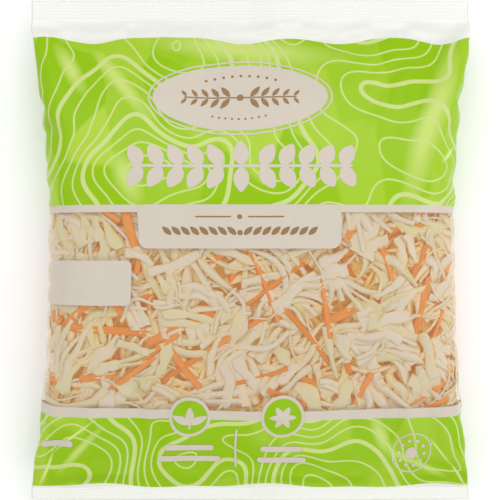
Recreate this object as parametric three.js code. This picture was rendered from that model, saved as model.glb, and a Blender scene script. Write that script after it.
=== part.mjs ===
// A sealed pillow bag of shredded coleslaw, lying on its back with its printed front up.
// Millimetres. X runs across the bag, Y from its lower seal to its upper seal, Z up off the table.
// The origin is on the table, under the middle of the bag.

import * as THREE from 'three';
import { ParametricGeometry } from 'three/addons/geometries/ParametricGeometry.js';
import { mergeVertices } from 'three/addons/utils/BufferGeometryUtils.js';

// Driving dimensions of the bag.
const FLAT_WIDTH = 220;        // width of the flat film tube, seen at the seals
const HEIGHT = 250;            // from the lower cut edge to the upper cut edge
const UPPER_SEAL = 10;         // height of each crimped seal
const LOWER_SEAL = 6.5;
const FILM_PLY = 0.8;          // thickness of a seal, two plies with their crimps
const CRIMP_PITCH = 2;         // one crimp ridge and its groove
const CRIMP_DEPTH = 0.35;
const SEAM_HEIGHT = 24;        // height of the widest line of the bag, halfway along
const SEAL_HEIGHT = 17;        // height of both seals over the table
const CROWN = 26.5;            // rise of the front over the widest line
const BELLY = 37;              // drop of the back below it, before the table flattens it

// How the bag fills from its seals, front and back, and how square its cross section is.
const FILL_POWER = 1.8;
const FRONT_FILL = 1.05;
const BACK_FILL = 0.75;
const SECTION_POWER = 4;
const SECTION_ROUNDING = 0.48;

// How far each side pulls in from the flat width where the bag is fullest.
const LEFT_SIDE = { pull: 10, waist: 5, lowerPower: 2.6, upperPower: 2.3 };
const RIGHT_SIDE = { pull: 8, waist: 25, lowerPower: 2.2, upperPower: 2.0 };

// Folds that run from a seal into the bag: x at the seal, sideways lean, depth, half width, length.
const UPPER_FOLDS = [
  { x: -77, lean: 0.35, depth: 2.4, width: 8, length: 46 },
  { x: -40, lean: 0.1, depth: -1.2, width: 12, length: 52 },
  { x: -6, lean: 0.0, depth: 2.2, width: 9, length: 40 },
  { x: 42, lean: -0.15, depth: 1.8, width: 9, length: 44 },
  { x: 93, lean: -0.5, depth: 2.2, width: 6, length: 50 },
];
const LOWER_FOLDS = [
  { x: -90, lean: 0.45, depth: 2.2, width: 6, length: 48 },
  { x: -52, lean: 0.2, depth: 1.6, width: 9, length: 36 },
  { x: -15, lean: 0.05, depth: 1.8, width: 10, length: 34 },
  { x: 26, lean: -0.1, depth: 1.4, width: 9, length: 34 },
  { x: 62, lean: -0.2, depth: 1.8, width: 9, length: 38 },
  { x: 92, lean: -0.5, depth: 2.4, width: 6, length: 52 },
];
const FOLD_RISE = 5;           // a fold reaches its depth this far from its seal

// Soft lumps where the shreds push on the film: wavelengths across and along the bag, phase, height.
const LUMPS = [
  { across: 61, along: 83, phase: 0.4, height: 0.5 },
  { across: -47, along: 58, phase: 2.1, height: 0.4 },
  { across: 96, along: -41, phase: 4.0, height: 0.3 },
];

// Mesh density: columns across each face of the bag, rows between the seals.
const COLUMNS = 42;
const BODY_ROWS = 36;
const ROW_EASING = 0.6;        // share by which rows crowd towards the seals

const LOWER_EDGE = -HEIGHT / 2;
const UPPER_EDGE = HEIGHT / 2;
const BODY_START = LOWER_EDGE + LOWER_SEAL;
const BODY_END = UPPER_EDGE - UPPER_SEAL;
const BODY_MIDDLE = (BODY_START + BODY_END) / 2;
const BODY_HALF = (BODY_END - BODY_START) / 2;

// The rows of the mesh. A row that closes an end is folded flat onto the middle of the seal.
function meshRows() {
  const rows = [{ y: LOWER_EDGE, closed: true }];
  const halfPitch = CRIMP_PITCH / 2;
  for (let y = LOWER_EDGE; y < BODY_START - halfPitch / 2; y += halfPitch) rows.push({ y });
  for (let i = 0; i <= BODY_ROWS; i++) {
    const even = i / BODY_ROWS;
    const eased = (1 - Math.cos(Math.PI * even)) / 2;
    const share = THREE.MathUtils.lerp(even, eased, ROW_EASING);
    rows.push({ y: THREE.MathUtils.lerp(BODY_START, BODY_END, share) });
  }
  for (let y = BODY_END + halfPitch; y < UPPER_EDGE + halfPitch / 2; y += halfPitch) rows.push({ y });
  rows.push({ y: UPPER_EDGE, closed: true });
  return rows;
}

// How full the bag is at y: 0 in the seals and 1 halfway along.
function fullness(y, rounding) {
  const along = Math.abs(y - BODY_MIDDLE) / BODY_HALF;
  return along >= 1 ? 0 : (1 - along ** FILL_POWER) ** rounding;
}

// Half the width of the bag at y on one side.
function sideOffset(side, y) {
  const end = y > side.waist ? UPPER_EDGE : LOWER_EDGE;
  const power = y > side.waist ? side.upperPower : side.lowerPower;
  const away = Math.min(1, Math.abs((y - side.waist) / (end - side.waist)));
  return FLAT_WIDTH / 2 - side.pull * (1 - away ** power);
}

// Depth of the folds at a point: each one starts at its seal, is deepest close by and fades out.
function foldDepth(folds, x, fromSeal) {
  if (fromSeal <= 0) return 0;
  let depth = 0;
  for (const fold of folds) {
    const off = (x - fold.x - fold.lean * fromSeal) / (fold.width * (1 + fromSeal / fold.length));
    const grown = 1 - Math.exp(-fromSeal / FOLD_RISE);
    depth += fold.depth * grown * Math.exp(-(off ** 2) - (fromSeal / fold.length) ** 2);
  }
  return depth;
}

function lumpHeight(x, y) {
  let height = 0;
  for (const lump of LUMPS) {
    const wave = x / lump.across + y / lump.along;
    height += lump.height * Math.sin(2 * Math.PI * wave + lump.phase);
  }
  return height;
}

// The seals wave gently along their length, and their crimps are fine ridges across it.
function sealWave(x) {
  return 0.9 * Math.sin(x / 31 + 0.6) + 0.5 * Math.sin(x / 17);
}

function crimp(y) {
  const inSeal = y <= BODY_START ? BODY_START - y : y - BODY_END;
  if (inSeal <= 0) return 0;
  return CRIMP_DEPTH * Math.cos((2 * Math.PI * (inSeal - CRIMP_PITCH / 2)) / CRIMP_PITCH);
}

// A point on the skin. turn goes once round the bag: 0 to 1 over the front from left to right,
// and 1 to 2 back under it.
function skinPoint(turn, row, target) {
  const front = turn <= 1;
  const across = -Math.cos(Math.PI * (front ? turn : 2 - turn));
  const bulge = Math.max(0, 1 - across ** SECTION_POWER);
  const section = bulge ** SECTION_ROUNDING;
  const y = row.y;
  const full = fullness(y, FRONT_FILL);
  const left = -sideOffset(LEFT_SIDE, y);
  const right = sideOffset(RIGHT_SIDE, y);
  const x = THREE.MathUtils.lerp(left, right, (across + 1) / 2);
  const seam = THREE.MathUtils.lerp(SEAL_HEIGHT, SEAM_HEIGHT, full) + sealWave(x) * (1 - full) + crimp(y);
  const ply = row.closed ? 0 : (FILM_PLY / 2) * section;

  let z;
  if (front) {
    const folds = foldDepth(UPPER_FOLDS, x, BODY_END - y) + foldDepth(LOWER_FOLDS, x, y - BODY_START);
    const rise = CROWN * full * section;
    z = seam + ply + Math.max(0, rise + bulge * (lumpHeight(x, y) * full - folds * (1 - full)));
  } else {
    z = Math.max(0, seam - ply - BELLY * fullness(y, BACK_FILL) * section);
  }
  target.set(x, y, z);
}

// The whole bag as one closed skin. ParametricGeometry walks round the bag with u and along it with v.
function bagGeometry() {
  const rows = meshRows();
  const slices = 2 * COLUMNS;
  const stacks = rows.length - 1;
  const wrapped = (u, v, target) => {
    const column = Math.round(u * slices) % slices;
    skinPoint(column / COLUMNS, rows[Math.round(v * stacks)], target);
  };
  const skin = new ParametricGeometry(wrapped, slices, stacks);
  skin.deleteAttribute('normal');
  skin.deleteAttribute('uv');
  const closed = mergeVertices(skin, 1e-3);
  closed.computeVertexNormals();
  return closed;
}

const printedFilm = new THREE.MeshStandardMaterial({ color: 0xa4cb36, roughness: 0.35, metalness: 0 });

const bag = new THREE.Mesh(bagGeometry(), printedFilm);
bag.name = 'sealed_bag';

const coleslaw = new THREE.Group();
coleslaw.add(bag);

export default coleslaw;
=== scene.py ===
import math
import random

import bmesh
import bpy
import numpy as np
from mathutils import Matrix, Vector, noise
from mathutils.bvhtree import BVHTree


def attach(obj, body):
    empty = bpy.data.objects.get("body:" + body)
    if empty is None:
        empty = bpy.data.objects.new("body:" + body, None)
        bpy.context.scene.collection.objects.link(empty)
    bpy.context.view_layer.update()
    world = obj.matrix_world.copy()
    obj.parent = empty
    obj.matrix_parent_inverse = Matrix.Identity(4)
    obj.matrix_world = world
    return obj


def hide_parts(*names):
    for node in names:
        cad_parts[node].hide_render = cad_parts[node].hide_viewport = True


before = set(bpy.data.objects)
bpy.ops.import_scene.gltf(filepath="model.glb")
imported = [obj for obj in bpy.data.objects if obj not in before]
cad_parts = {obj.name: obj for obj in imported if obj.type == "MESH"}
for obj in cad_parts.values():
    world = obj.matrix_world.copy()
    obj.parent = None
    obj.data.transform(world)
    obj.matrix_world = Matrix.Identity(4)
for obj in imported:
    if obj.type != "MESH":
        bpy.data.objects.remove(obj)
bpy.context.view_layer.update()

# A sealed clear bag of coleslaw on its back: simulated film, its print, and the slaw behind its window.
# Sizes are in millimetres and are turned into metres where a mesh is finished.
MM = 0.001

# The film tube, laid flat. u runs round it from the middle of the front, v up from its lower cut edge.
FLAT_WIDTH = 220.0
FILM_LENGTH = 258.0
HALF_ROUND = FLAT_WIDTH          # u reaches from -220 to 220, where its two edges meet at the back
FOLD = FLAT_WIDTH / 2            # the two sides of the bag are at u = -110 and u = 110
LOWER_SEAL = 6.5
UPPER_SEAL = 10.0
FILM_STEP = 2.75
CRIMP_PITCH = 1.5
CRIMP_DEPTH = 0.28
FILM_PLY = 0.3                   # half the gap between the two plies of a seal
OFF_FLOOR = 0.3                  # the film's lowest points are this far over the table

# The filled bag.
HEIGHT = 250.0
SEAL_HEIGHT = 17.0               # height of both seals over the table
SEAM_RISE = 7.0                  # the widest line of the bag is this much higher halfway along
CROWN = 26.5                     # rise of the front over that line
BELLY = 37.0                     # drop of the back below it, before the table flattens it
FILL_POWER = 1.8
FRONT_FILL = 1.05
BACK_FILL = 0.75
SECTION_POWER = 4
SECTION_ROUNDING = 0.48
LOWER_EDGE = -HEIGHT / 2
UPPER_EDGE = HEIGHT / 2

# The outline: how far each side pulls in from the flat width, where it is narrowest, and where it starts
# to pull in at both ends.
LEFT_SIDE = {"pull": 10.0, "waist": 5.0, "low_end": -119.0, "lower": 2.6, "high_end": 110.0, "upper": 2.3}
RIGHT_SIDE = {"pull": 8.2, "waist": 25.0, "low_end": -120.0, "lower": 3.0, "high_end": 105.0, "upper": 2.0}

# Limits of the printed bands, along the film.
LOWER_PRINT = 7.0                # lower edge of the lower green band
WINDOW_LOW = 48.2                # the window's lower edge is the upper edge of the lower cream strip
LOWER_STRIP = 4.8
WINDOW_HIGH = 147.0
UPPER_STRIP = 4.0
UPPER_PRINT = 237.6              # upper edge of the upper green band
PRINT_DIPS = (-180, -125, -79, -5, 42, 94, 148, 202)   # where that edge dips, round the tube
DIP_RISE = 1.2                   # the edge stands this much higher between its dips
DIP_DEPTH = 4.2
DIP_WIDTH = 13.0
DIP_FADE = 10.0                  # the dips are gone this far from that edge
LOW_FADE = 6.0                   # so is the sway of the print's lower edge
STRIP_CLIMB = 4.6                # rise of the lower strip towards the sides of the bag
STRIP_POWER = 1.6
STRIP_FADE = 30.0

# Colours, linear.
GREEN = (0.25, 0.47, 0.003)
LIT_GREEN = (0.40, 0.58, 0.05)   # painted light: lighter facets, where the film would catch more light
PALE_GREEN = (0.52, 0.61, 0.22)
CREAM = (0.575, 0.515, 0.435)
BROWN = (0.28, 0.17, 0.08)
LIGHT_BAND_GREEN = (0.50, 0.63, 0.15)
CREASE_GLINT_GREEN = (0.58, 0.70, 0.24)
FILM_WHITE = (0.86, 0.87, 0.815)
CLEAR_TINT = (0.80, 0.66, 0.42)
GLOSS = 0.27                     # roughness of the film
SHINE = 0.12                     # the ink takes most of the film's mirror off
VEIL = 0.11                      # the clear film hides this share of what is straight behind it
VEIL_POWER = 4.0                 # and more as it is seen at a slant
SEAL_ALPHA = 0.8
LIGHT_BAND_STRENGTH = 1.3              # how much of their colour the painted light bands and the painted crease glints reach
CREASE_GLINT_STRENGTH = 1.6


# Meshes and objects

def mesh_from(bm, name):
    mesh = bpy.data.meshes.new(name)
    bm.to_mesh(mesh)
    bm.free()
    return mesh


def add_object(name, data):
    thing = bpy.data.objects.new(name, data)
    bpy.context.scene.collection.objects.link(thing)
    return thing


# Film shape

def smooth_step(t):
    t = max(0.0, min(1.0, t))
    return t * t * (3 - 2 * t)


def side_offset(side, y):
    end = side["high_end"] if y > side["waist"] else side["low_end"]
    power = side["upper"] if y > side["waist"] else side["lower"]
    away = min(1.0, abs((y - side["waist"]) / (end - side["waist"])))
    return FLAT_WIDTH / 2 - side["pull"] * (1 - away ** power)


def seal_sway(x):
    return 0.9 * math.sin(x / 31 + 0.6) + 0.5 * math.sin(x / 17)


def on_front(u):
    return abs(u) <= FOLD


def flat_x(u):
    return u if on_front(u) else math.copysign(2 * FOLD - abs(u), u)


def length_to_height(v):
    """Where a row of the film ends up between the two cut edges."""
    if v <= LOWER_SEAL:
        return LOWER_EDGE + v
    if v >= FILM_LENGTH - UPPER_SEAL:
        return UPPER_EDGE - (FILM_LENGTH - v)
    share = (v - LOWER_SEAL) / (FILM_LENGTH - UPPER_SEAL - LOWER_SEAL)
    return LOWER_EDGE + LOWER_SEAL + share * (HEIGHT - UPPER_SEAL - LOWER_SEAL)


def pillow_place(u, v):
    """The plain filled form."""
    y = length_to_height(v)
    middle = (LOWER_SEAL - UPPER_SEAL) / 2
    half = (HEIGHT - UPPER_SEAL - LOWER_SEAL) / 2
    along = min(1.0, abs(y - middle) / half)
    full = (1 - along ** FILL_POWER) ** FRONT_FILL
    back_full = (1 - along ** FILL_POWER) ** BACK_FILL
    even = flat_x(u) / FOLD
    across = (1 - full) * even + full * math.sin(even * math.pi / 2)
    section = max(0.0, 1 - across ** SECTION_POWER) ** SECTION_ROUNDING
    left, right = -side_offset(LEFT_SIDE, y), side_offset(RIGHT_SIDE, y)
    x = left + (right - left) * (across + 1) / 2
    seam = SEAL_HEIGHT + SEAM_RISE * full + seal_sway(x) * (1 - full)
    ply = FILM_PLY * min(1.0, 4 * section)
    if on_front(u):
        return Vector((x, y, seam + ply + CROWN * full * section))
    return Vector((x, y, max(OFF_FLOOR, seam - ply - BELLY * back_full * section)))


def film_rows():
    """Film lengths of the mesh rows: even between the print's edges, finer in the crimped seals."""
    limits = [0.0, LOWER_SEAL, LOWER_PRINT, WINDOW_LOW - LOWER_STRIP, WINDOW_LOW, WINDOW_HIGH,
              WINDOW_HIGH + UPPER_STRIP, UPPER_PRINT, FILM_LENGTH - UPPER_SEAL, FILM_LENGTH]
    rows = [0.0]
    for start, end in zip(limits, limits[1:]):
        in_seal = start < LOWER_SEAL or end > FILM_LENGTH - UPPER_SEAL
        count = max(1, round((end - start) / (CRIMP_PITCH / 2 if in_seal else FILM_STEP)))
        rows += [start + (end - start) * i / count for i in range(1, count + 1)]
    return rows


def nearness(v, line, fade):
    return max(0.0, 1 - abs(v - line) / fade)


def print_wave(u, v):
    """The print wavers at the upper seal, and its lower strip climbs towards both sides of the bag."""
    dips = sum(math.exp(-((u - dip) / DIP_WIDTH) ** 2) for dip in PRINT_DIPS)
    sway = math.sin(u / 14 + 1) + 0.5 * math.sin(u / 6.5)
    climb = STRIP_CLIMB * (abs(flat_x(u)) / FOLD) ** STRIP_POWER
    upper = (DIP_RISE - DIP_DEPTH * dips) * nearness(v, UPPER_PRINT, DIP_FADE)
    lower = sway * nearness(v, LOWER_PRINT, LOW_FADE)
    return upper + lower + climb * nearness(v, WINDOW_LOW, STRIP_FADE)


def film_grid():
    """A flat grid for the whole film, and the film place of each vertex."""
    rows = film_rows()
    columns = round(2 * HALF_ROUND / FILM_STEP)
    bm = bmesh.new()
    uvs = bm.loops.layers.uv.new("film_place")
    bmesh.ops.create_grid(bm, x_segments=columns, y_segments=len(rows) - 1, size=1.0)
    for vert in bm.verts:
        column = round((vert.co.x + 1) / 2 * columns)
        row = round((vert.co.y + 1) / 2 * (len(rows) - 1))
        u = -HALF_ROUND + column * FILM_STEP
        vert.co = (u, rows[row] + print_wave(u, rows[row]), row * columns + column % columns)
    for face in bm.faces:
        for loop in face.loops:
            loop[uvs].uv = loop.vert.co.xy * MM
    return bm, rows, columns


def closed_film(bm):
    """Rolls the flat grid into a tube. Its vertices then go by row and column."""
    edges = [v for v in bm.verts if abs(abs(v.co.x) - HALF_ROUND) < 0.01]
    order = {v: round(v.co.z) for v in bm.verts}
    twins = {}
    for vert in edges:
        twins.setdefault(order[vert], []).append(vert)
    targets = {pair[1]: pair[0] for pair in twins.values()}
    for vert in bm.verts:
        vert.index = order[vert]
    bmesh.ops.weld_verts(bm, targetmap=targets)
    bm.verts.sort()
    bm.faces.ensure_lookup_table()
    return [tuple(v.co.xy) for v in bm.verts]


SIM_SCALE = 0.01                 # the cloth is simulated at ten times its size, in metres
SIM_FRAMES = 40
DRAWN_IN = 20                    # frame at which the seals have drawn together
PRESSURE = 4.0
FULL_REACH = 80.0                # distance from a seal at which the slaw fills the bag
FLOOR_REACH = 3.0
FLOOR_SKIN = 0.005               # the simulated floor stops the film this far over itself
FIRST_LIFT = 10.0                # before it fills, the film is parted by this many times its ply
FIRST_BUMP = 1.5


def pressed_floor():
    """The floor of the simulation, which flattens the bag's back."""
    bm = bmesh.new()
    bmesh.ops.create_grid(bm, x_segments=4, y_segments=4, size=FLOOR_REACH)
    floor = add_object("sim_floor", mesh_from(bm, "sim_floor"))
    floor.location.z = -FLOOR_SKIN
    floor.modifiers.new("press", "COLLISION")
    floor.collision.thickness_outer = FLOOR_SKIN
    return floor


def inflate(mesh, places):
    """Cloth simulation: flat film is filled while its seals draw together, lying on a floor."""
    scene = bpy.context.scene
    film = add_object("sim_film", mesh)
    start = film.shape_key_add(name="start")
    cut = film.shape_key_add(name="cut")
    filled = film.shape_key_add(name="filled")
    seals = film.vertex_groups.new(name="seals")
    push = film.vertex_groups.new(name="push")
    for i, (u, v) in enumerate(places):
        x, ply = flat_x(u), FILM_PLY if on_front(u) else -FILM_PLY
        cut.data[i].co = Vector((x, v, ply)) * SIM_SCALE
        filled.data[i].co = pillow_place(u, v) * SIM_SCALE
        inside = min(v - LOWER_SEAL, FILM_LENGTH - UPPER_SEAL - v)
        bump = noise.noise(Vector((x / 11, v / 11, 8 * ply))) * FIRST_BUMP
        lift = FIRST_LIFT * ply + bump if inside > 5 else ply
        start.data[i].co = Vector((x, v - FILM_LENGTH / 2, SEAL_HEIGHT + lift)) * SIM_SCALE
        if inside < 0.1:
            seals.add([i], 1.0, "REPLACE")
        push.add([i], 0.05 + 0.95 * smooth_step(inside / FULL_REACH), "REPLACE")
    filled.value = 0.0
    filled.keyframe_insert("value", frame=1)
    filled.value = 1.0
    filled.keyframe_insert("value", frame=DRAWN_IN)

    floor = pressed_floor()
    cloth = film.modifiers.new("film", "CLOTH")
    settings = cloth.settings
    settings.rest_shape_key = cut
    settings.vertex_group_mass = "seals"
    settings.pin_stiffness = 50
    settings.quality = 8
    settings.mass = 0.15
    settings.tension_stiffness = settings.compression_stiffness = 300
    settings.shear_stiffness = 30
    settings.bending_stiffness = 0.01
    settings.tension_damping = settings.compression_damping = settings.shear_damping = 1
    settings.bending_damping = 0.1
    settings.air_damping = 1
    settings.use_pressure = True
    settings.uniform_pressure_force = PRESSURE
    settings.vertex_group_pressure = "push"
    settings.effector_weights.gravity = 0
    cloth.collision_settings.distance_min = 0.004
    cloth.collision_settings.use_self_collision = False
    cloth.point_cache.frame_start, cloth.point_cache.frame_end = 1, SIM_FRAMES
    for moment in range(1, SIM_FRAMES + 1):
        scene.frame_set(moment)
    done = film.evaluated_get(bpy.context.evaluated_depsgraph_get()).data
    points = np.empty(len(places) * 3)
    done.vertices.foreach_get("co", points)
    bpy.data.objects.remove(film)
    bpy.data.objects.remove(floor)
    scene.frame_set(1)
    return points.reshape(-1, 3) / SIM_SCALE


def blurred(values, times):
    """Averages a row-by-column field with its neighbours, round the tube and along it."""
    for _ in range(times):
        values = (np.roll(values, 1, 1) + 2 * values + np.roll(values, -1, 1)) / 4
        padded = np.concatenate([values[:1], values, values[-1:]])
        values = (padded[:-2] + 2 * padded[1:-1] + padded[2:]) / 4
    return values


EASED_ROWS = 6                   # the fit is averaged over this many rows to each side


def fit_outline(points):
    """Widens or narrows each row a little, so that the sides follow the bag's outline."""
    left = points[:, :, 0].min(1)
    right = points[:, :, 0].max(1)
    ease = np.hanning(2 * EASED_ROWS + 1)
    ease /= ease.sum()
    padded = (np.pad(side, EASED_ROWS, mode="edge") for side in (left, right))
    left, right = (np.convolve(side, ease, "valid") for side in padded)
    heights = points[:, :, 1].mean(1)
    for row, y in enumerate(heights):
        want_left, want_right = -side_offset(LEFT_SIDE, y), side_offset(RIGHT_SIDE, y)
        share = (points[row, :, 0] - left[row]) / (right[row] - left[row])
        points[row, :, 0] = want_left + share * (want_right - want_left)
    return points


def crimp_seals(points, lengths):
    """Presses fine ridges into both seals, and closes the two cut edges."""
    for row in range(points.shape[0]):
        v = lengths[row, 0]
        deep = max(LOWER_SEAL - v, v - (FILM_LENGTH - UPPER_SEAL))
        if deep < -0.01:
            continue
        points[row, :, 2] += CRIMP_DEPTH * (1 if row % 2 else -1) * min(1.0, deep)
        if v < 0.01 or v > FILM_LENGTH - 0.01:
            points[row, :, 2] = [SEAL_HEIGHT + seal_sway(x) for x in points[row, :, 0]]
    return points


def face_band(v):
    """Material of a film face by how far up the film it is: 0 clear, 1 green, 2 cream, 3 seal."""
    if v < LOWER_PRINT or v > UPPER_PRINT:
        return 3
    if LOWER_PRINT < v < WINDOW_LOW - LOWER_STRIP or WINDOW_HIGH + UPPER_STRIP < v < UPPER_PRINT:
        return 1
    if WINDOW_LOW - LOWER_STRIP < v < WINDOW_LOW or WINDOW_HIGH < v < WINDOW_HIGH + UPPER_STRIP:
        return 2
    return 0


# Materials

def feed(tree, socket, value):
    """Links a socket to the one that it is given, or else sets it. A plain colour is made opaque."""
    if isinstance(value, bpy.types.NodeSocket):
        tree.links.new(value, socket)
    elif socket.type == "RGBA" and len(value) == 3:
        socket.default_value = (*value, 1)
    else:
        socket.default_value = value


def add_node(tree, kind, settings=None, **sockets):
    """One shader node. Sockets go by name, or by number as in i0."""
    node = tree.nodes.new(kind)
    for key, value in (settings or {}).items():
        setattr(node, key, value)
    for key, value in sockets.items():
        feed(tree, node.inputs[int(key[1:]) if key[1:].isdigit() else key.replace("_", " ")], value)
    return node


def maths(tree, operation, *values):
    node = tree.nodes.new("ShaderNodeMath")
    node.operation = operation
    for socket, value in zip(node.inputs, values):
        feed(tree, socket, value)
    return node.outputs[0]


def mix_colours(tree, share, first, second):
    node = add_node(tree, "ShaderNodeMix", {"data_type": "RGBA"}, i0=share, i6=first, i7=second)
    return node.outputs[2]


def film_place(tree):
    return add_node(tree, "ShaderNodeUVMap", {"uv_map": "film_place"}).outputs[0]


def object_place(tree):
    return add_node(tree, "ShaderNodeTexCoord").outputs["Object"]


def new_material(name, colour, roughness, **sockets):
    material = bpy.data.materials.new(name)
    material.use_nodes = True
    tree = material.node_tree
    shader = tree.nodes["Principled BSDF"]
    shader.inputs["Base Color"].default_value = (*colour, 1)
    shader.inputs["Roughness"].default_value = roughness
    for key, value in sockets.items():
        shader.inputs[key.replace("_", " ")].default_value = value
    material.diffuse_color = (*colour, 1)
    return material, tree, shader


FILM_IOR = 1.5
PRINT_RIPPLE = 0.12              # strength of the film's fine ripples, and of the seals'
SEAL_RIPPLE = 0.3


def film_ripple(tree, shader, strength=PRINT_RIPPLE):
    """Fine ripples of thin film pressed on shreds."""
    place = object_place(tree)
    ripple = add_node(tree, "ShaderNodeTexNoise", Vector=place, Scale=90.0, Detail=3.0, Roughness=0.5)
    bump = add_node(tree, "ShaderNodeBump", Strength=strength, Distance=0.001, Height=ripple.outputs[0])
    tree.links.new(bump.outputs[0], shader.inputs["Normal"])
    return ripple.outputs[0]


LINE_SPACING = 1.2               # height between two contour lines
HILL_START = (0.31, 0.17)        # the part of the made-up ground that the film shows, in metres
HILL_SCALE = 14.0
HILL_RISE = 22.0                 # height of the hills, in the unit of the spacing
HILL_SLOPE = (53.94, -31.0)      # rise of the ground that they stand on, for a metre across and along
SLOPE_STEP = 0.0004              # steepness is measured over this distance, in metres
LINE_WOBBLE = 0.0022             # all lines waver together, by metres
WOBBLE_TURN = 1.1
WOBBLE_SCALE = (200, 170, 1)
THIN_LINE = 0.00046              # half width of a contour line, in metres
THICK_LINE = 0.0011


def contour_lines(tree):
    """Lines of equal height over a made-up hilly ground, as wide everywhere as a pen draws them."""
    place = film_place(tree)
    start_x, start_y = HILL_START

    def vector_maths(operation, output=0, **sockets):
        return add_node(tree, "ShaderNodeVectorMath", {"operation": operation}, **sockets).outputs[output]

    def hills(x, y):
        moved = vector_maths("ADD", i0=place, i1=(x, y, 0))
        turned = add_node(tree, "ShaderNodeMapping", Vector=moved, Rotation=(0, 0, WOBBLE_TURN),
                          Scale=WOBBLE_SCALE)
        wave = vector_maths("SINE", i0=turned.outputs[0])
        bent = vector_maths("MULTIPLY_ADD", i0=wave, i1=(LINE_WOBBLE, LINE_WOBBLE, 0), i2=moved)
        noisy = add_node(tree, "ShaderNodeTexNoise", {"noise_dimensions": "2D"},
                         Vector=bent, Scale=HILL_SCALE, Detail=1.0, Roughness=0.25).outputs[0]
        slope = vector_maths("DOT_PRODUCT", "Value", i0=bent, i1=(*HILL_SLOPE, 0))
        return maths(tree, "ADD", maths(tree, "MULTIPLY", noisy, HILL_RISE), slope)

    here = hills(start_x, start_y)
    east = maths(tree, "SUBTRACT", hills(start_x + SLOPE_STEP, start_y), here)
    north = maths(tree, "SUBTRACT", hills(start_x, start_y + SLOPE_STEP), here)
    steep = maths(tree, "SQRT", maths(tree, "ADD", maths(tree, "MULTIPLY", east, east),
                                      maths(tree, "MULTIPLY", north, north)))
    steep = maths(tree, "MAXIMUM", maths(tree, "DIVIDE", steep, SLOPE_STEP), 1.0)

    def lines(offset, spacing, half_width):
        level = maths(tree, "PINGPONG", maths(tree, "ADD", here, offset), spacing / 2)
        away = maths(tree, "DIVIDE", level, steep)
        return maths(tree, "LESS_THAN", away, half_width)

    thin = lines(0.0, LINE_SPACING, THIN_LINE)
    thick = lines(LINE_SPACING * 2, LINE_SPACING * 4, THICK_LINE)
    return maths(tree, "MAXIMUM", thin, thick)


# Painted streaks of light on the green film, painted highlights: both ends in film coordinates, and half the
# width.
SHARP_CREASE_GLINTS = (((-74, 46), (-98, 25), 0.9), ((-96, 28), (-106, 6), 1.1), ((86, 35), (101, 18), 0.8),
                 ((99, 21), (109, 6), 1.0), ((105, 181), (93, 172), 1.6), ((-190, 44), (-168, 20), 1.0),
                 ((150, 236), (172, 205), 1.0))
SOFT_LIGHT_BANDS = (((100, 238), (72, 143), 8.0), ((-98, 236), (-80, 205), 5.0), ((-80, 233), (-46, 190), 4.5),
              ((-70, 42), (-97, 13), 2.6), ((57, 48), (69, 23), 4.2), ((62, 30), (100, 11), 2.4),
              ((-60, 238), (50, 226), 9.0), ((-66, 178), (-52, 150), 7.0), ((180, 230), (150, 160), 9.0),
              ((-150, 228), (-185, 165), 8.0))


def lit_streaks(tree, streaks):
    """How strongly the streaks light a point: most in the middle of each, fading to its outline."""
    place = film_place(tree)
    share = 0.0
    for start, end, half_width in streaks:
        along = Vector(end) - Vector(start)
        middle = (Vector(start) + Vector(end)) / 2 * MM
        streak = add_node(tree, "ShaderNodeMapping", {"vector_type": "TEXTURE"}, Vector=place,
                          Location=(*middle, 0), Rotation=(0, 0, math.atan2(along.y, along.x)),
                          Scale=(along.length / 2 * MM, half_width * MM, 1))
        glow = add_node(tree, "ShaderNodeTexGradient", {"gradient_type": "SPHERICAL"},
                        Vector=streak.outputs[0])
        share = maths(tree, "MAXIMUM", share, glow.outputs["Fac"])
    return share


def film_finishes():
    """The four materials of the film, in the order of its bands."""
    clear, tree, shader = new_material("clear_film", CLEAR_TINT, GLOSS, Alpha=VEIL, IOR=FILM_IOR)
    film_ripple(tree, shader)
    slant = add_node(tree, "ShaderNodeLayerWeight", Blend=0.5).outputs["Facing"]
    grazing = maths(tree, "POWER", slant, VEIL_POWER)
    veil = add_node(tree, "ShaderNodeMapRange", Value=grazing, To_Min=VEIL, To_Max=1.0)
    tree.links.new(veil.outputs[0], shader.inputs["Alpha"])

    green, tree, shader = new_material("green_print", GREEN, GLOSS, Specular_IOR_Level=SHINE)
    film_ripple(tree, shader)
    # Painted light: pale facets mixed into the green stand in for facets of the film that catch the light.
    place = object_place(tree)
    slanted = add_node(tree, "ShaderNodeMapping", Vector=place, Rotation=(0, 0, 0.7), Scale=(1, 0.5, 1))
    lit_facets = add_node(tree, "ShaderNodeTexVoronoi", {"feature": "SMOOTH_F1"}, Vector=slanted.outputs[0],
                      Scale=38.0, Smoothness=0.16).outputs["Color"]
    sheen = add_node(tree, "ShaderNodeMapRange", Value=lit_facets, From_Min=0.42, From_Max=0.85, To_Max=0.8)
    # Painted highlights: soft light bands, and sharp glints along the creases of the film.
    bands = maths(tree, "MULTIPLY", lit_streaks(tree, SOFT_LIGHT_BANDS), LIGHT_BAND_STRENGTH)
    ground = mix_colours(tree, bands, mix_colours(tree, sheen.outputs[0], GREEN, LIT_GREEN), LIGHT_BAND_GREEN)
    lined = mix_colours(tree, contour_lines(tree), ground, PALE_GREEN)
    crease_glints = maths(tree, "MULTIPLY", lit_streaks(tree, SHARP_CREASE_GLINTS), CREASE_GLINT_STRENGTH)
    colour = mix_colours(tree, crease_glints, lined, CREASE_GLINT_GREEN)
    tree.links.new(colour, shader.inputs["Base Color"])

    cream = plain_print("cream_print", CREAM)

    seal, tree, shader = new_material("pressed_seal", FILM_WHITE, 0.35, Alpha=SEAL_ALPHA, IOR=FILM_IOR)
    film_ripple(tree, shader, SEAL_RIPPLE)
    return clear, green, cream, seal


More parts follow.
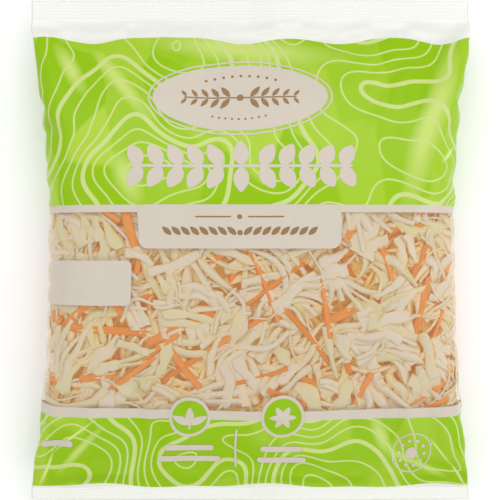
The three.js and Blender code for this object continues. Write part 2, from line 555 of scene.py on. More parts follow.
def plain_print(name, colour):
    """One plain ink, a little darker where the film ripples: painted shade of the ripples."""
    material, tree, shader = new_material(name, colour, GLOSS, Specular_IOR_Level=SHINE)
    grain = film_ripple(tree, shader)
    darker = tuple(c * 0.8 for c in colour)
    # Painted shade: the ink is darkened by the ripples' own height.
    shaded_tone = mix_colours(tree, maths(tree, "MULTIPLY", grain, 0.12), colour, darker)
    tree.links.new(shaded_tone, shader.inputs["Base Color"])
    return material


def keep_piece(mesh, name, materials):
    """Makes a finished mesh a piece of the bag."""
    piece = add_object(name, mesh)
    for material in materials:
        mesh.materials.append(material)
    mesh.polygons.foreach_set("use_smooth", [True] * len(mesh.polygons))
    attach(piece, "root")
    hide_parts("sealed_bag")
    return piece


def face_outwards(bm):
    bmesh.ops.recalc_face_normals(bm, faces=bm.faces)
    if bm.calc_volume(signed=True) < 0:
        bmesh.ops.reverse_faces(bm, faces=bm.faces)


def make_film():
    """The whole film as one closed skin. Returns its piece and its points by row and column."""
    bm, rows, columns = film_grid()
    places = closed_film(bm)
    for vert in bm.verts:
        vert.co.z = 0
    mesh = bpy.data.meshes.new("film")
    bm.to_mesh(mesh)
    points = inflate(mesh.copy(), places)
    shape = (len(rows), columns, 3)
    lengths = np.array([v for _, v in places]).reshape(shape[:2])
    points = crimp_seals(fit_outline(points.reshape(shape)), lengths)

    bands = [face_band((low + high) / 2) for low, high in zip(rows, rows[1:])]
    bm.verts.ensure_lookup_table()
    flat = points.reshape(-1, 3)
    for vert in bm.verts:
        vert.co = flat[vert.index] * MM
    for face in bm.faces:
        face.material_index = bands[min(v.index for v in face.verts) // columns]
    ends = [v for v in bm.verts if v.index < columns or v.index >= columns * (len(rows) - 1)]
    bmesh.ops.remove_doubles(bm, verts=ends, dist=0.00005)
    face_outwards(bm)
    bm.to_mesh(mesh)
    bm.free()
    piece = keep_piece(mesh, "film", film_finishes())
    finer = piece.modifiers.new("finer", "SUBSURF")
    finer.levels = finer.render_levels = 1
    return piece, points, lengths


film, film_points, film_lengths = make_film()


SIDE_SQUEEZE = 0.7               # the slaw is pressed this much closer to the film at the two sides
SIDE_REACH = 11.0


class FilmMap:
    """Finds places on the finished film, and under it, by film coordinates in millimetres."""

    def __init__(self, points, lengths):
        self.rows = lengths.mean(1)
        self.outer = points
        self.inner = blurred(points, 4)
        along = np.gradient(self.inner, axis=0)
        around = (np.roll(self.inner, -1, 1) - np.roll(self.inner, 1, 1)) / 2
        normal = np.cross(around, along)
        self.normal = normal / np.linalg.norm(normal, axis=2, keepdims=True)
        dip = ((self.inner - points) * self.normal).sum(2)
        dip = np.maximum.reduce([dip, np.roll(dip, 1, 1), np.roll(dip, -1, 1)])
        self.dip = blurred(dip[:, :, None], 1)[:, :, 0]

    def sample(self, field, u, v):
        columns = field.shape[1]
        across = (np.asarray(u) + HALF_ROUND) / FILM_STEP
        row = np.interp(v, self.rows, np.arange(len(self.rows)))
        c0, r0 = np.floor(across).astype(int), np.clip(np.floor(row).astype(int), 0, len(self.rows) - 2)
        fc, fr = across - c0, row - r0
        if field.ndim == 3:
            fc, fr = fc[:, None], fr[:, None]
        near = field[r0, c0 % columns] * (1 - fc) + field[r0, (c0 + 1) % columns] * fc
        far = field[r0 + 1, c0 % columns] * (1 - fc) + field[r0 + 1, (c0 + 1) % columns] * fc
        return near * (1 - fr) + far * fr

    def under(self, u, v, depth):
        """Places at a depth under the smoothed film, clear of its wrinkles and pressed to its two sides."""
        way = self.sample(self.normal, u, v)
        round_tube = (np.asarray(u) + HALF_ROUND) % (2 * HALF_ROUND) - HALF_ROUND
        to_side = np.abs(np.abs(round_tube) - FOLD)
        pressed = 1 - SIDE_SQUEEZE * np.exp(-(to_side / SIDE_REACH) ** 2)
        lower = depth * pressed + self.sample(self.dip, u, v)
        return self.sample(self.inner, u, v) - way * lower[:, None]


film_map = FilmMap(film_points, film_lengths)
bpy.context.view_layer.update()
film_search = BVHTree.FromObject(film, bpy.context.evaluated_depsgraph_get())


# Print laid on the film

PRINT_PITCH = 1.6                # a flat printed shape is cut this fine, so that it follows the film
INK = 0.05                       # thickness of one printed layer
INK_LIFT = 0.05                  # print is this far over the film, and a layer's lift more for each layer
LAYER_LIFT = 0.07
CRISP = 0.7                      # edges that turn more than this, in radians, stay sharp


def lay_on_film(bm, layer):
    """Cuts flat shapes finely, wraps them on the film and gives them their thickness."""
    for axis in (0, 1):
        values = [v.co[axis] for v in bm.verts]
        at = math.ceil(min(values) / PRINT_PITCH) * PRINT_PITCH
        while at < max(values):
            plane = Vector((0, 0, 0))
            plane[axis] = at
            way = Vector((0, 0, 0))
            way[axis] = 1
            geometry = bm.verts[:] + bm.edges[:] + bm.faces[:]
            bmesh.ops.bisect_plane(bm, geom=geometry, plane_co=plane, plane_no=way, dist=0.0001)
            at += PRINT_PITCH
    us = np.array([v.co.x for v in bm.verts])
    vs = np.array([v.co.y for v in bm.verts])
    rough = film_map.sample(film_map.outer, us, vs) * MM
    lift = (INK_LIFT + layer * LAYER_LIFT) * MM
    for vert, start in zip(bm.verts, rough):
        place, normal, _, _ = film_search.find_nearest(Vector(start))
        vert.co = place + normal * lift
    bmesh.ops.recalc_face_normals(bm, faces=bm.faces)
    bmesh.ops.solidify(bm, geom=bm.faces[:], thickness=INK * MM)


def place_shape(bm, verts, at, turn=0.0):
    move = Matrix.Translation((*at, 0)) @ Matrix.Rotation(turn, 4, "Z")
    bmesh.ops.transform(bm, matrix=move, verts=verts)


def plate(bm, at, size, corner=0.8, turn=0.0):
    """A flat panel with rounded corners."""
    made = bmesh.ops.create_grid(bm, x_segments=1, y_segments=1, size=0.5)["verts"]
    bmesh.ops.scale(bm, vec=(*size, 1), verts=made)
    rounded = bmesh.ops.bevel(bm, geom=made, offset=min(corner, min(size) * 0.49), segments=5,
                              profile=0.5, affect="VERTICES", material=-1)["verts"]
    verts = list({v for face in bm.faces for v in face.verts if v in set(rounded) or v in set(made)})
    place_shape(bm, [v for v in verts if v.is_valid], at, turn)


def disc(bm, at, radius, squash=1.0, turn=0.0, sides=40):
    made = bmesh.ops.create_circle(bm, cap_ends=True, segments=sides, radius=radius)["verts"]
    bmesh.ops.scale(bm, vec=(1, squash, 1), verts=made)
    place_shape(bm, made, at, turn)


def ring(bm, at, radius, width, squash=1.0, sides=56):
    """A flat ring that reaches out from its inner edge by width."""
    made = bmesh.ops.create_circle(bm, segments=sides, radius=radius)["verts"]
    edges = list({e for v in made for e in v.link_edges})
    grown = bmesh.ops.extrude_edge_only(bm, edges=edges)["geom"]
    outer = [v for v in grown if isinstance(v, bmesh.types.BMVert)]
    bmesh.ops.scale(bm, vec=(1, squash, 1), verts=made)
    for vert in outer:
        across = Vector((vert.co.x, vert.co.y, 0))
        away = Vector((across.x, across.y * squash, 0))
        normal = Vector((across.x / radius, across.y / radius, 0)).normalized()
        vert.co = away + normal * width
    place_shape(bm, made + outer, at)


def leaf(bm, at, length, width, turn=0.0, tip=1.4):
    """A pointed leaf from its stalk end at `at`, made from a circle."""
    made = bmesh.ops.create_circle(bm, cap_ends=True, segments=22, radius=0.5)["verts"]
    for vert in made:
        along = vert.co.x + 0.5
        vert.co.y *= (1 - abs(2 * along - 1) ** tip * 0.35) * (1.15 - 0.3 * along)
    bmesh.ops.scale(bm, vec=(length, width, 1), verts=made)
    bmesh.ops.translate(bm, vec=(length / 2, 0, 0), verts=made)
    place_shape(bm, made, at, turn)


def printed_piece(name, material, layer, draw):
    bm = bmesh.new()
    draw(bm)
    lay_on_film(bm, layer)
    mesh = mesh_from(bm, name)
    keep_piece(mesh, name, [material])
    mesh.set_sharp_from_angle(angle=CRISP)


cream_ink = plain_print("cream_ink", CREAM)
brown_ink = plain_print("brown_ink", BROWN)
green_ink = plain_print("green_ink", GREEN)
seam_film, seam_tree, seam_shader = new_material("seam_film", FILM_WHITE, 0.33, Alpha=0.4, IOR=FILM_IOR)
film_ripple(seam_tree, seam_shader, SEAL_RIPPLE)

# Where each print lies on the film, and its size.
BADGE = (-5.9, 205.3)
BADGE_SIZE = (84.0, 34.8)
BADGE_GAP = 1.4                  # from the panel to the line round it
BADGE_LINE = 0.9
SPRIG_LEAVES = 5
SPRIG_START = 5.0                # from the middle of the panel to the first leaves
SPRIG_PITCH = 5.2
SPRIG_LEAF = 6.6                 # length of the first leaves, and how much shorter each next pair is
SPRIG_TAPER = 0.7
SPRIG_OPEN = math.pi / 3.6
GARLAND = (-4.6, 169.9)
GARLAND_STEM = (106, 1.5)
GARLAND_LEAVES = 5               # pairs to each side of the middle one
GARLAND_PITCH = 9.6
GARLAND_LEAF = (12.4, 7.6)
GARLAND_OPEN = 1.05
LABEL = (-80.8, 113)
LABEL_SIZE = (47.2, 21.8)
TAB = (-5.6, 140.35)
TAB_SIZE = (96.4, 21.3)
TAB_RULE = 4.7                   # its rule is this far over its middle
TAB_LEAVES = 8                   # in each half of its row
TAB_START = 1.9
TAB_PITCH = 4.4
TAB_LEAF = (5.6, 2.7)
TAB_LEAN = 0.75
ROUNDELS = (((-29.8, 45.9), 10.0), ((14.9, 46.7), 10.5))
ROUNDEL_STRETCH = 1.1            # they are this much taller than wide, as the film slopes there
ROUNDEL_RIM = 1.5
SMALL_ROUNDEL = (79.3, 25.5)
SMALL_STRETCH = 1.16
SMALL_RADIUS = 9.0
RING_DOTS = 10
RING_RADIUS = 6.1
LOW_RULE = (-6.9, 28.5)
LOW_RULE_SIZE = (1.1, 22.5)
BAR_HEIGHT = 3.2
LOW_BARS = ((-29.6, 28.6, 24.0), (-29.8, 22.2, 31.0), (15.3, 28.4, 20.0),
            (15.7, 21.9, 24.0), (-94.0, 31.0, 16.0))
SEAM_WIDTH = 12.0


def draw_label(bm):
    plate(bm, LABEL, LABEL_SIZE, 3.0)


def draw_tab(bm):
    plate(bm, TAB, TAB_SIZE, 4.2)


def draw_badge(bm):
    """A plain bowed panel."""
    disc(bm, BADGE, BADGE_SIZE[0] / 2, BADGE_SIZE[1] / BADGE_SIZE[0], sides=96)


def draw_badge_line(bm):
    half_wide, half_high = (size / 2 + BADGE_GAP for size in BADGE_SIZE)
    ring(bm, BADGE, half_wide, BADGE_LINE, half_high / half_wide, sides=96)


def draw_sprigs(bm):
    """Two sprigs of leaves that meet in the middle of the panel, between two bowed rows of dots."""
    x, y = BADGE
    for way in (-1, 1):
        plate(bm, (x + way * 14, y), (26, 0.7), 0.3)
        for step in range(SPRIG_LEAVES):
            at = x + way * (SPRIG_START + SPRIG_PITCH * step)
            size = SPRIG_LEAF - SPRIG_TAPER * step
            for up in (-1, 1):
                turn = up * SPRIG_OPEN if way > 0 else math.pi - up * SPRIG_OPEN
                leaf(bm, (at, y + up * 0.6), size, size * 0.42, turn)
    disc(bm, (x, y), 1.7)
    for step in range(-4, 5):
        disc(bm, (x + step * 4.2, y + 11.6 - 0.16 * step * step), 0.7, sides=16)
        disc(bm, (x + step * 3.2, y - 11.4 + 0.1 * step * step), 0.55, sides=16)


def draw_garland(bm):
    """A band of plump leaves on a long stem, across the front."""
    x, y = GARLAND
    length, width = GARLAND_LEAF
    plate(bm, (x, y), GARLAND_STEM, 0.7)
    for step in range(-GARLAND_LEAVES, GARLAND_LEAVES + 1):
        for up in (-1, 1):
            turn = up * GARLAND_OPEN if step >= 0 else math.pi - up * GARLAND_OPEN
            if step == 0:
                turn = up * math.pi / 2
            stalk = (x + step * GARLAND_PITCH, y + up * 0.5)
            leaf(bm, stalk, length - 0.25 * abs(step), width, turn, tip=2.2)


def draw_tab_marks(bm):
    """A rule with a bead on it over a row of small leaves."""
    x, y = TAB
    for way in (-1, 1):
        plate(bm, (x + way * 12.5, y + TAB_RULE), (17, 0.7), 0.3)
        turn = TAB_LEAN if way > 0 else math.pi - TAB_LEAN
        for step in range(TAB_LEAVES):
            leaf(bm, (x + way * (TAB_START + step * TAB_PITCH), y - 4.0), *TAB_LEAF, turn)
    disc(bm, (x, y + TAB_RULE), 1.2, sides=20)
    disc(bm, (x, y - 3.0), 1.3, sides=20)


def draw_roundel_rims(bm):
    for at, radius in ROUNDELS:
        disc(bm, at, radius, ROUNDEL_STRETCH)
    ring(bm, SMALL_ROUNDEL, SMALL_RADIUS, 0.7, SMALL_STRETCH)


def draw_roundel_grounds(bm):
    for at, radius in ROUNDELS:
        disc(bm, at, radius - ROUNDEL_RIM, ROUNDEL_STRETCH)


def draw_low_marks(bm):
    """Marks in the lower band: a sign in each roundel, a rule, bars in rows and the small ring's dots."""
    (x, y), radius = ROUNDELS[0]
    for turn in (0.5, 1.57, 2.64):
        leaf(bm, (x, y - 3.8), radius * 0.95, radius * 0.42, turn)
    plate(bm, (x, y - 5.2), (0.9, 3.0), 0.3)
    (x, y), radius = ROUNDELS[1]
    for step in range(6):
        leaf(bm, (x, y), radius * 0.62, radius * 0.3, step * math.pi / 3)
    plate(bm, LOW_RULE, LOW_RULE_SIZE, 0.5)
    for x, y, width in LOW_BARS:
        plate(bm, (x, y), (width, BAR_HEIGHT), 1.2)
    x, y = SMALL_ROUNDEL
    disc(bm, (x, y), 2.9, SMALL_STRETCH)
    for step in range(RING_DOTS):
        turn = 2 * math.pi * step / RING_DOTS
        at = (x + RING_RADIUS * math.cos(turn), y + RING_RADIUS * SMALL_STRETCH * math.sin(turn))
        disc(bm, at, 0.9, SMALL_STRETCH, sides=16)


def draw_seam(bm):
    """The lap where the two edges of the film are welded, all along the middle of the back."""
    plate(bm, (HALF_ROUND - SEAM_WIDTH / 2, FILM_LENGTH / 2), (SEAM_WIDTH, FILM_LENGTH - 1), 0.2)


printed_piece("label_patch", cream_ink, 1, draw_label)
printed_piece("front_tab", cream_ink, 1, draw_tab)
printed_piece("badge_panel", cream_ink, 1, draw_badge)
printed_piece("badge_line", cream_ink, 1, draw_badge_line)
printed_piece("badge_sprigs", brown_ink, 2, draw_sprigs)
printed_piece("garland", cream_ink, 1, draw_garland)
printed_piece("tab_marks", brown_ink, 2, draw_tab_marks)
printed_piece("roundel_rims", cream_ink, 1, draw_roundel_rims)
printed_piece("roundel_grounds", green_ink, 2, draw_roundel_grounds)
printed_piece("low_marks", cream_ink, 3, draw_low_marks)
printed_piece("back_seam", seam_film, 1, draw_seam)


# Slaw

SLAW_LOW = 15.0                  # the slaw fills the bag between these film lengths
SLAW_HIGH = 225.0
CORE_DEPTH = 8.5
CORE_LUMPS = 2.2
CORE_MESH = (110, 56)            # its columns round the bag and its rows along it
CORE_END = 0.12                  # share of its length over which each end closes
CORE_NARROW = 0.82               # width of the closed ends
BEHIND_PRINT = 11.0              # shreds reach this far past the window, under the print


def core_mesh():
    """A lumpy body under the shreds, following the bag."""
    bm = bmesh.new()
    columns, rows = CORE_MESH
    bmesh.ops.create_grid(bm, x_segments=columns, y_segments=rows, size=1.0)
    bm.verts.ensure_lookup_table()
    us = np.array([v.co.x * HALF_ROUND for v in bm.verts])
    share = np.array([(v.co.y + 1) / 2 for v in bm.verts])
    vs = SLAW_LOW + share * (SLAW_HIGH - SLAW_LOW)
    end = np.minimum(share, 1 - share)
    lumps = [noise.noise(Vector((flat_x(u) / 5, v / 5, 1.0 if on_front(u) else 9.0))) for u, v in zip(us, vs)]
    points = film_map.under(us, vs, CORE_DEPTH + CORE_LUMPS * np.array(lumps))
    # Both ends close to a line inside the bag.
    close = np.clip(end / CORE_END, 0, 1) ** 0.5
    level = SEAL_HEIGHT + 3.0
    points[:, 2] = level + (points[:, 2] - level) * close
    points[:, 0] *= CORE_NARROW + (1 - CORE_NARROW) * close
    for vert, point in zip(bm.verts, points):
        vert.co = Vector(point) * MM
    edges = [v for v in bm.verts if abs(us[v.index]) > HALF_ROUND - 0.01 or end[v.index] < 1e-6]
    bmesh.ops.remove_doubles(bm, verts=edges, dist=0.0002)
    face_outwards(bm)
    return mesh_from(bm, "slaw_core")


def shred_template(kind):
    """A straight rod along X with crisp cut ends. A squareness near 0 makes its round section a box."""
    sides, segments = kind["sides"], kind["segments"]
    bm = bmesh.new()
    bmesh.ops.create_cone(bm, cap_ends=True, segments=sides, radius1=0.5, radius2=0.5, depth=1.0)
    bmesh.ops.rotate(bm, cent=(0, 0, 0), matrix=Matrix.Rotation(math.pi / 2, 3, "Y"), verts=bm.verts)
    bmesh.ops.rotate(bm, cent=(0, 0, 0), matrix=Matrix.Rotation(math.pi / sides, 3, "X"), verts=bm.verts)
    for vert in bm.verts:
        for axis in (1, 2):
            vert.co[axis] = math.copysign(0.5 * abs(2 * vert.co[axis]) ** kind["square"], vert.co[axis])
    long_edges = [e for e in bm.edges if abs(e.verts[0].co.x - e.verts[1].co.x) > 0.5]
    bmesh.ops.subdivide_edges(bm, edges=long_edges, cuts=segments - 1)
    for edge in bm.edges:
        edge.smooth = any(abs(vert.co.x) < 0.49 for vert in edge.verts)
    bmesh.ops.recalc_face_normals(bm, faces=bm.faces)
    return mesh_from(bm, "template")


def copies_of(template, count, name):
    bm = bmesh.new()
    for _ in range(count):
        bm.from_mesh(template)
    return mesh_from(bm, name)


def spread_places(count, rand):
    """Places all round the window, one in each cell of a grid that is as even as count allows."""
    low, high = WINDOW_LOW - BEHIND_PRINT, WINDOW_HIGH + BEHIND_PRINT
    cell = math.sqrt(2 * HALF_ROUND * (high - low) / count)
    across, along = round(2 * HALF_ROUND / cell), max(1, round((high - low) / cell))
    cells = [(i, j) for i in range(across) for j in range(along)]
    rand.shuffle(cells)
    while len(cells) < count:
        cells += cells[:count - len(cells)]
    width, height = 2 * HALF_ROUND / across, (high - low) / along
    return [(-HALF_ROUND + (i + rand.random()) * width, low + (j + rand.random()) * height)
            for i, j in cells[:count]]


FLOW_SCALE = 35.0                # shreds this close lie much the same way
ARM_REACH = (0.65, 1.0)          # each arm of a fan is this share of its length
ARM_SPREAD = (0.3, 0.9)
ARM_GAP = 0.55


def fan_of_shreds(rand, kind, u0, v0):
    """The paths of one shred, or of a few that spread from one thick end, in film coordinates."""
    segments = kind["segments"]
    steps = np.linspace(0, 1, segments + 1)
    length, width = rand.uniform(*kind["length"]), rand.uniform(*kind["width"])
    side = 4.0 if on_front(u0) else 14.0
    flow = math.pi * noise.noise(Vector((flat_x(u0) / FLOW_SCALE, v0 / FLOW_SCALE, side)))
    heading = flow + rand.gauss(0, kind["stray"])
    bend, wave, phase = rand.gauss(0, kind["bend"]), rand.gauss(0, kind["wave"]), rand.uniform(0, 6.3)
    top, bottom = kind["depth"]
    shallow = top + (bottom - top) * rand.random() ** kind.get("rise", 1.0)
    tint = rand.random()
    arms = rand.randint(1, kind["arms"])
    for arm in range(arms):
        aside = arm - (arms - 1) / 2
        reach = length * (rand.uniform(*ARM_REACH) if arms > 1 else 1)
        angle = heading + bend * (steps - 0.5) + wave * np.sin(7.5 * steps + phase)
        angle = angle + aside * rand.uniform(*ARM_SPREAD) * steps ** 1.5
        us = np.cumsum(np.cos(angle)) * reach / segments
        vs = np.cumsum(np.sin(angle)) * reach / segments
        us += u0 - math.cos(heading) * length / 2 - aside * ARM_GAP * width * math.sin(heading)
        vs += v0 - math.sin(heading) * length / 2 + aside * ARM_GAP * width * math.cos(heading)
        dive = kind["dive"] * (0.5 + 0.5 * np.sin(2 * math.pi * steps * rand.uniform(0.5, 1.1) + phase))
        depth = np.maximum(shallow + rand.uniform(0, 0.8) + dive, 0.2)
        yield steps, angle, us, vs, depth, reach, width * rand.uniform(0.75, 1.1), tint


GRAIN_STRETCH = 0.12             # streaks are this much closer along a shred than across it
NEAREST = 0.15                   # no part of a shred is closer to the film than this
SHRED_OFF_FLOOR = 0.6
SEAL_MARGIN = 4.0                # nor to a seal than this
BOXY = 0.4                       # rods of less squareness keep their long edges crisp too


def lay_shreds(name, material, groups, seed, kind):
    """Bends one rod for each shred in film coordinates, then wraps them all round under the film."""
    rand = random.Random(seed)
    template = shred_template(kind)
    rod = np.empty(len(template.vertices) * 3)
    template.vertices.foreach_get("co", rod)
    rod = rod.reshape(-1, 3)
    station = np.rint((rod[:, 0] + 0.5) * kind["segments"]).astype(int)
    parts = []
    for u0, v0 in spread_places(groups, rand):
        for steps, angle, path_u, path_v, depth, length, width, tint in fan_of_shreds(rand, kind, u0, v0):
            thick = rand.uniform(*kind["thick"])
            roll = rand.gauss(0, kind["roll"]) + rand.gauss(0, kind["twist"]) * (steps - 0.5)
            narrow = 1 - rand.uniform(0, kind["narrow"]) * steps
            to_end = np.minimum(steps, 1 - steps) * length / width
            ends = np.minimum(1, to_end + kind["blunt"]) ** 0.6 * narrow
            waves = [steps * rand.uniform(0.8, 2.6) + rand.random() for _ in range(2)]
            edges = [1 + kind["ragged"] * np.sin(2 * math.pi * wave) for wave in waves]
            wide = np.where(rod[:, 1] > 0, edges[0][station], edges[1][station]) * (width * ends)[station]
            side = rod[:, 1] * wide
            over = rod[:, 2] * (thick * (0.5 + 0.5 * ends))[station]
            over = over - rand.gauss(0, kind["cup"]) * (2 * rod[:, 1]) ** 2 * width
            turn = roll[station]
            flat_off = side * np.cos(turn) - over * np.sin(turn)
            drop = side * np.sin(turn) + over * np.cos(turn)
            lean = angle[station] + math.pi / 2
            reach = np.abs(np.sin(turn)) * wide / 2 + thick / 2
            grain_at = rand.uniform(0, 500)
            parts.append(np.stack([path_u[station] + flat_off * np.cos(lean),
                                   path_v[station] + flat_off * np.sin(lean),
                                   np.maximum(depth[station] + reach - drop, NEAREST),
                                   np.full(len(rod), tint), 2 * rod[:, 1], side + grain_at,
                                   over, rod[:, 0] * length * GRAIN_STRETCH + grain_at]))
    us, vs, depths, tints, across, *grain = np.concatenate(parts, axis=1)
    vs = np.clip(vs, LOWER_SEAL + SEAL_MARGIN, FILM_LENGTH - UPPER_SEAL - SEAL_MARGIN)
    points = film_map.under(us, vs, depths)
    points[:, 2] = np.maximum(points[:, 2], SHRED_OFF_FLOOR)
    mesh = copies_of(template, len(parts), name)
    mesh.vertices.foreach_set("co", (points * MM).ravel())
    for key, values in (("tint", tints), ("depth", depths), ("across", across)):
        mesh.attributes.new(key, "FLOAT", "POINT").data.foreach_set("value", values.astype(np.float32))
    grain = np.stack(grain, axis=1).astype(np.float32)
    mesh.attributes.new("grain", "FLOAT_VECTOR", "POINT").data.foreach_set("vector", grain.ravel())
    bpy.data.meshes.remove(template)
    keep_piece(mesh, name, [material])
    if kind["square"] < BOXY:
        mesh.set_sharp_from_angle(angle=CRISP)


EDGE_SHADE_TAN = 0.36                  # painted shade: tan towards the long edges of a shred, where what lies behind would show through
SOAKED_GLOW = 0.2               # painted glow: emission for a little of the light that soaks through wet shreds
SOAKED_DEPTH = 0.45              # share of the deepest painted-shade colour in that glow
FLESH_IOR = 1.4

CREAM_WHITE = (0.465, 0.462, 0.44)
LEAF_GREEN = (0.42, 0.43, 0.24)
PALE_LEAF = (0.425, 0.45, 0.32)
RICH_LEAF = (0.40, 0.43, 0.20)
# Painted shade: shreds turn tan and then orange the deeper they lie; the tans also colour the real streaks.
GRAIN_AND_SHADE_TAN = (0.67, 0.435, 0.13)
DEEP_SHADE_ORANGE = (0.72, 0.28, 0.02)
CARROT_PALE = (0.65, 0.25, 0.04)
CARROT_RICH = (0.60, 0.19, 0.015)
CARROT_STREAK_AND_SHADE = (0.52, 0.145, 0.008)
CARROT_DEEP_SHADE = (0.60, 0.12, 0.003)
# The core is real packed cabbage and carrot, in colours darkened as painted deep shade.
CORE_SHADE_BROWN = (0.55, 0.32, 0.12)
CORE_SHADE_ORANGE = (0.80, 0.27, 0.02)
CORE_SHADE_TAN = (0.76, 0.52, 0.19)
CORE_GLOW = (0.64, 0.26, 0.05)


def shred_finish(name, pale, rich, richness, tan, deepest, depths, streaks=0.2):
    """Flesh with streaks along it, with painted shade that turns it tan and then orange as it lies deeper in
    the bag, and a painted glow.
    """
    material, tree, shader = new_material(name, pale, 0.4, IOR=FLESH_IOR)
    tint, deep, across = (add_node(tree, "ShaderNodeAttribute", {"attribute_name": key}).outputs["Fac"]
                          for key in ("tint", "depth", "across"))
    grain = add_node(tree, "ShaderNodeAttribute", {"attribute_name": "grain"}).outputs["Vector"]
    place = object_place(tree)
    patch = add_node(tree, "ShaderNodeTexNoise", Vector=place, Scale=110.0, Detail=2.0).outputs[0]
    streak = add_node(tree, "ShaderNodeTexNoise", Vector=grain, Scale=1.1, Detail=2.0).outputs[0]
    share = maths(tree, "MULTIPLY", maths(tree, "POWER", tint, 1.5), richness)
    fresh = mix_colours(tree, maths(tree, "MULTIPLY", share, patch), pale, rich)
    # Painted shade towards the long edges of each shred.
    edge_shade = maths(tree, "MULTIPLY", maths(tree, "MULTIPLY", across, across), EDGE_SHADE_TAN)
    streaked_and_edge_shaded = mix_colours(tree, maths(tree, "MULTIPLY_ADD", streak, streaks, edge_shade), fresh, tan)
    start, middle, end = depths
    sunk_shade = add_node(tree, "ShaderNodeMapRange", Value=deep, From_Min=start, From_Max=middle).outputs[0]
    lost_shade = add_node(tree, "ShaderNodeMapRange", Value=deep, From_Min=middle, From_Max=end).outputs[0]
    colour = mix_colours(tree, lost_shade, mix_colours(tree, sunk_shade, streaked_and_edge_shaded, tan), deepest)
    tree.links.new(colour, shader.inputs["Base Color"])
    # Painted glow: the shreds emit a little light in a warmer mix of their colour, for light soaked through
    # the slaw.
    tree.links.new(mix_colours(tree, SOAKED_DEPTH, colour, deepest), shader.inputs["Emission Color"])
    shader.inputs["Emission Strength"].default_value = SOAKED_GLOW
    bump = add_node(tree, "ShaderNodeBump", Strength=0.3, Distance=0.0008, Height=streak)
    tree.links.new(bump.outputs[0], shader.inputs["Normal"])
    return material


def core_finish():
    """What shows at the bottom of the gaps: patches of cabbage and carrot packed together, in their colours
    darkened as painted deep shade, with a painted glow.
    """
    material, tree, shader = new_material("packed_slaw", CORE_SHADE_BROWN, 0.5, IOR=FLESH_IOR)
    place = object_place(tree)
    patch = add_node(tree, "ShaderNodeTexNoise", Vector=place, Scale=70.0, Detail=4.0,
                     Distortion=0.6).outputs[0]
    tree.links.new(mix_colours(tree, patch, CORE_SHADE_ORANGE, CORE_SHADE_TAN), shader.inputs["Base Color"])
    shader.inputs["Emission Color"].default_value = (*CORE_GLOW, 1)
    shader.inputs["Emission Strength"].default_value = SOAKED_GLOW
    return material


# Kinds of shred, in millimetres and radians. A path strays from the flow round it, bends and waves. It
# starts within a range of depths under the film, more often near its top where rise is over 1, and dives
# from there. arms is the most that spread from one end. blunt and narrow shape the ends, ragged the edges
# and cup the section.
RIBBON = {"sides": 6, "segments": 9, "square": 0.5, "length": (18, 48), "width": (2.6, 6.4),
          "thick": (0.9, 1.6), "arms": 4, "stray": 0.9, "bend": 0.8, "wave": 0.3, "depth": (0.1, 3.8),
          "dive": 1.7, "roll": 0.3, "twist": 1.1, "blunt": 0.75, "narrow": 0.7, "ragged": 0.26, "cup": 0.04}
RIB = {"sides": 8, "segments": 7, "square": 0.5, "length": (13, 28), "width": (5.0, 9.5), "thick": (1.6, 2.6),
       "arms": 3, "stray": 1.2, "bend": 0.7, "wave": 0.2, "depth": (0.1, 1.9), "dive": 1.0, "roll": 0.2,
       "twist": 0.5, "blunt": 0.85, "narrow": 0.65, "ragged": 0.26, "cup": 0.05}
LEAF = {"sides": 8, "segments": 9, "square": 0.8, "length": (16, 38), "width": (5.5, 12.0),
        "thick": (0.5, 0.8), "arms": 1, "stray": 1.4, "bend": 0.9, "wave": 0.4, "depth": (0.2, 2.8),
        "dive": 1.8, "roll": 0.25, "twist": 0.8, "blunt": 0.7, "narrow": 0.7, "ragged": 0.36, "cup": 0.1}
THREAD = {"sides": 5, "segments": 11, "square": 0.9, "length": (18, 40), "width": (1.3, 2.6),
          "thick": (0.9, 1.4), "arms": 1, "stray": 1.2, "bend": 1.3, "wave": 0.45, "depth": (0.1, 2.2),
          "dive": 1.6, "roll": 0.4, "twist": 0.8, "blunt": 0.6, "narrow": 0.5, "ragged": 0.2, "cup": 0.0}
CARROT = {"sides": 8, "segments": 5, "square": 0.3, "length": (16, 44), "width": (2.9, 4.6),
          "thick": (2.4, 3.4), "arms": 1, "stray": 1.4, "bend": 0.16, "wave": 0.03, "depth": (0.2, 5.4),
          "rise": 1.25, "dive": 0.8, "roll": 0.55, "twist": 0.2, "blunt": 1.0, "narrow": 0.25,
          "ragged": 0.05, "cup": 0.0}
PACKED = {**RIBBON, "depth": (4.5, 8.0), "width": (3.2, 5.2), "dive": 1.2}

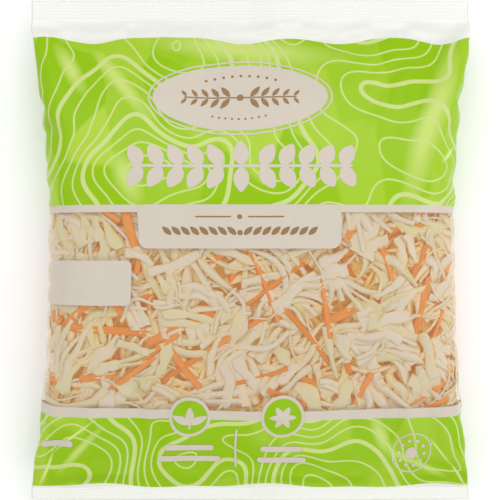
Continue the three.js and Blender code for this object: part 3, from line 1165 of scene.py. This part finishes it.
cabbage_white = shred_finish("cabbage_white", CREAM_WHITE, LEAF_GREEN, 1.2, GRAIN_AND_SHADE_TAN, DEEP_SHADE_ORANGE,
                             depths=(2.2, 6.5, 9.5))
cabbage_leaf = shred_finish("cabbage_leaf", PALE_LEAF, RICH_LEAF, 1.0, GRAIN_AND_SHADE_TAN, DEEP_SHADE_ORANGE,
                            depths=(2.2, 7.0, 9.5))
carrot_flesh = shred_finish("carrot_flesh", CARROT_PALE, CARROT_RICH, 1.0, CARROT_STREAK_AND_SHADE, CARROT_DEEP_SHADE,
                            depths=(2.0, 6.0, 10.0), streaks=0.95)
keep_piece(core_mesh(), "slaw_core", [core_finish()])
lay_shreds("cabbage_ribbons", cabbage_white, 430, 11, RIBBON)
lay_shreds("cabbage_packed", cabbage_white, 330, 16, PACKED)
lay_shreds("cabbage_ribs", cabbage_white, 150, 12, RIB)
lay_shreds("cabbage_leaves", cabbage_leaf, 100, 15, LEAF)
lay_shreds("cabbage_threads", cabbage_white, 110, 13, THREAD)
lay_shreds("carrot_shreds", carrot_flesh, 235, 24, CARROT)


# Floor, light and camera

TABLE_WHITE = (0.97, 0.97, 0.97)
SKY_STRENGTH = 0.6


def make_floor():
    bm = bmesh.new()
    bmesh.ops.create_grid(bm, x_segments=2, y_segments=2, size=3.0)
    floor = add_object("table", mesh_from(bm, "table"))
    floor.data.materials.append(new_material("table_white", TABLE_WHITE, 0.7)[0])


def area_light(name, place, target, size, power):
    lamp = bpy.data.lights.new(name, "AREA")
    lamp.shape = "RECTANGLE"
    lamp.size, lamp.size_y = size
    lamp.energy = power
    holder = add_object(name, lamp)
    holder.location = place
    holder.rotation_euler = (Vector(target) - Vector(place)).to_track_quat("-Z", "Y").to_euler()


def make_camera():
    """Straight above the bag, where the height of its seals just fills the frame."""
    camera = bpy.data.cameras.new("camera")
    camera.lens = 120
    camera.sensor_width = 36
    camera.clip_start = 0.05
    holder = add_object("camera", camera)
    holder.location = (0, 0, SEAL_HEIGHT * MM + HEIGHT * MM * camera.lens / camera.sensor_width)
    bpy.context.scene.camera = holder


def make_world():
    world = bpy.data.worlds.new("studio")
    world.use_nodes = True
    sky = world.node_tree.nodes["Background"]
    sky.inputs[0].default_value = (1, 1, 1, 1)
    sky.inputs[1].default_value = SKY_STRENGTH
    bpy.context.scene.world = world


make_floor()
area_light("soft_above", (0.0, 0.95, 1.35), target=(0, 0, 0), size=(1.6, 0.7), power=8.2)
area_light("soft_left", (-1.1, 0.2, 1.0), target=(0, 0, 0.02), size=(1.3, 1.3), power=5.7)
area_light("soft_front", (0.45, -1.1, 1.1), target=(0, -0.08, 0), size=(1.2, 0.5), power=4.6)
area_light("soft_right", (0.95, 0.0, 0.62), target=(0, 0, 0.02), size=(0.22, 0.9), power=3.6)
make_world()
make_camera()
bpy.context.scene.view_settings.view_transform = "Standard"

bpy.context.view_layer.update()
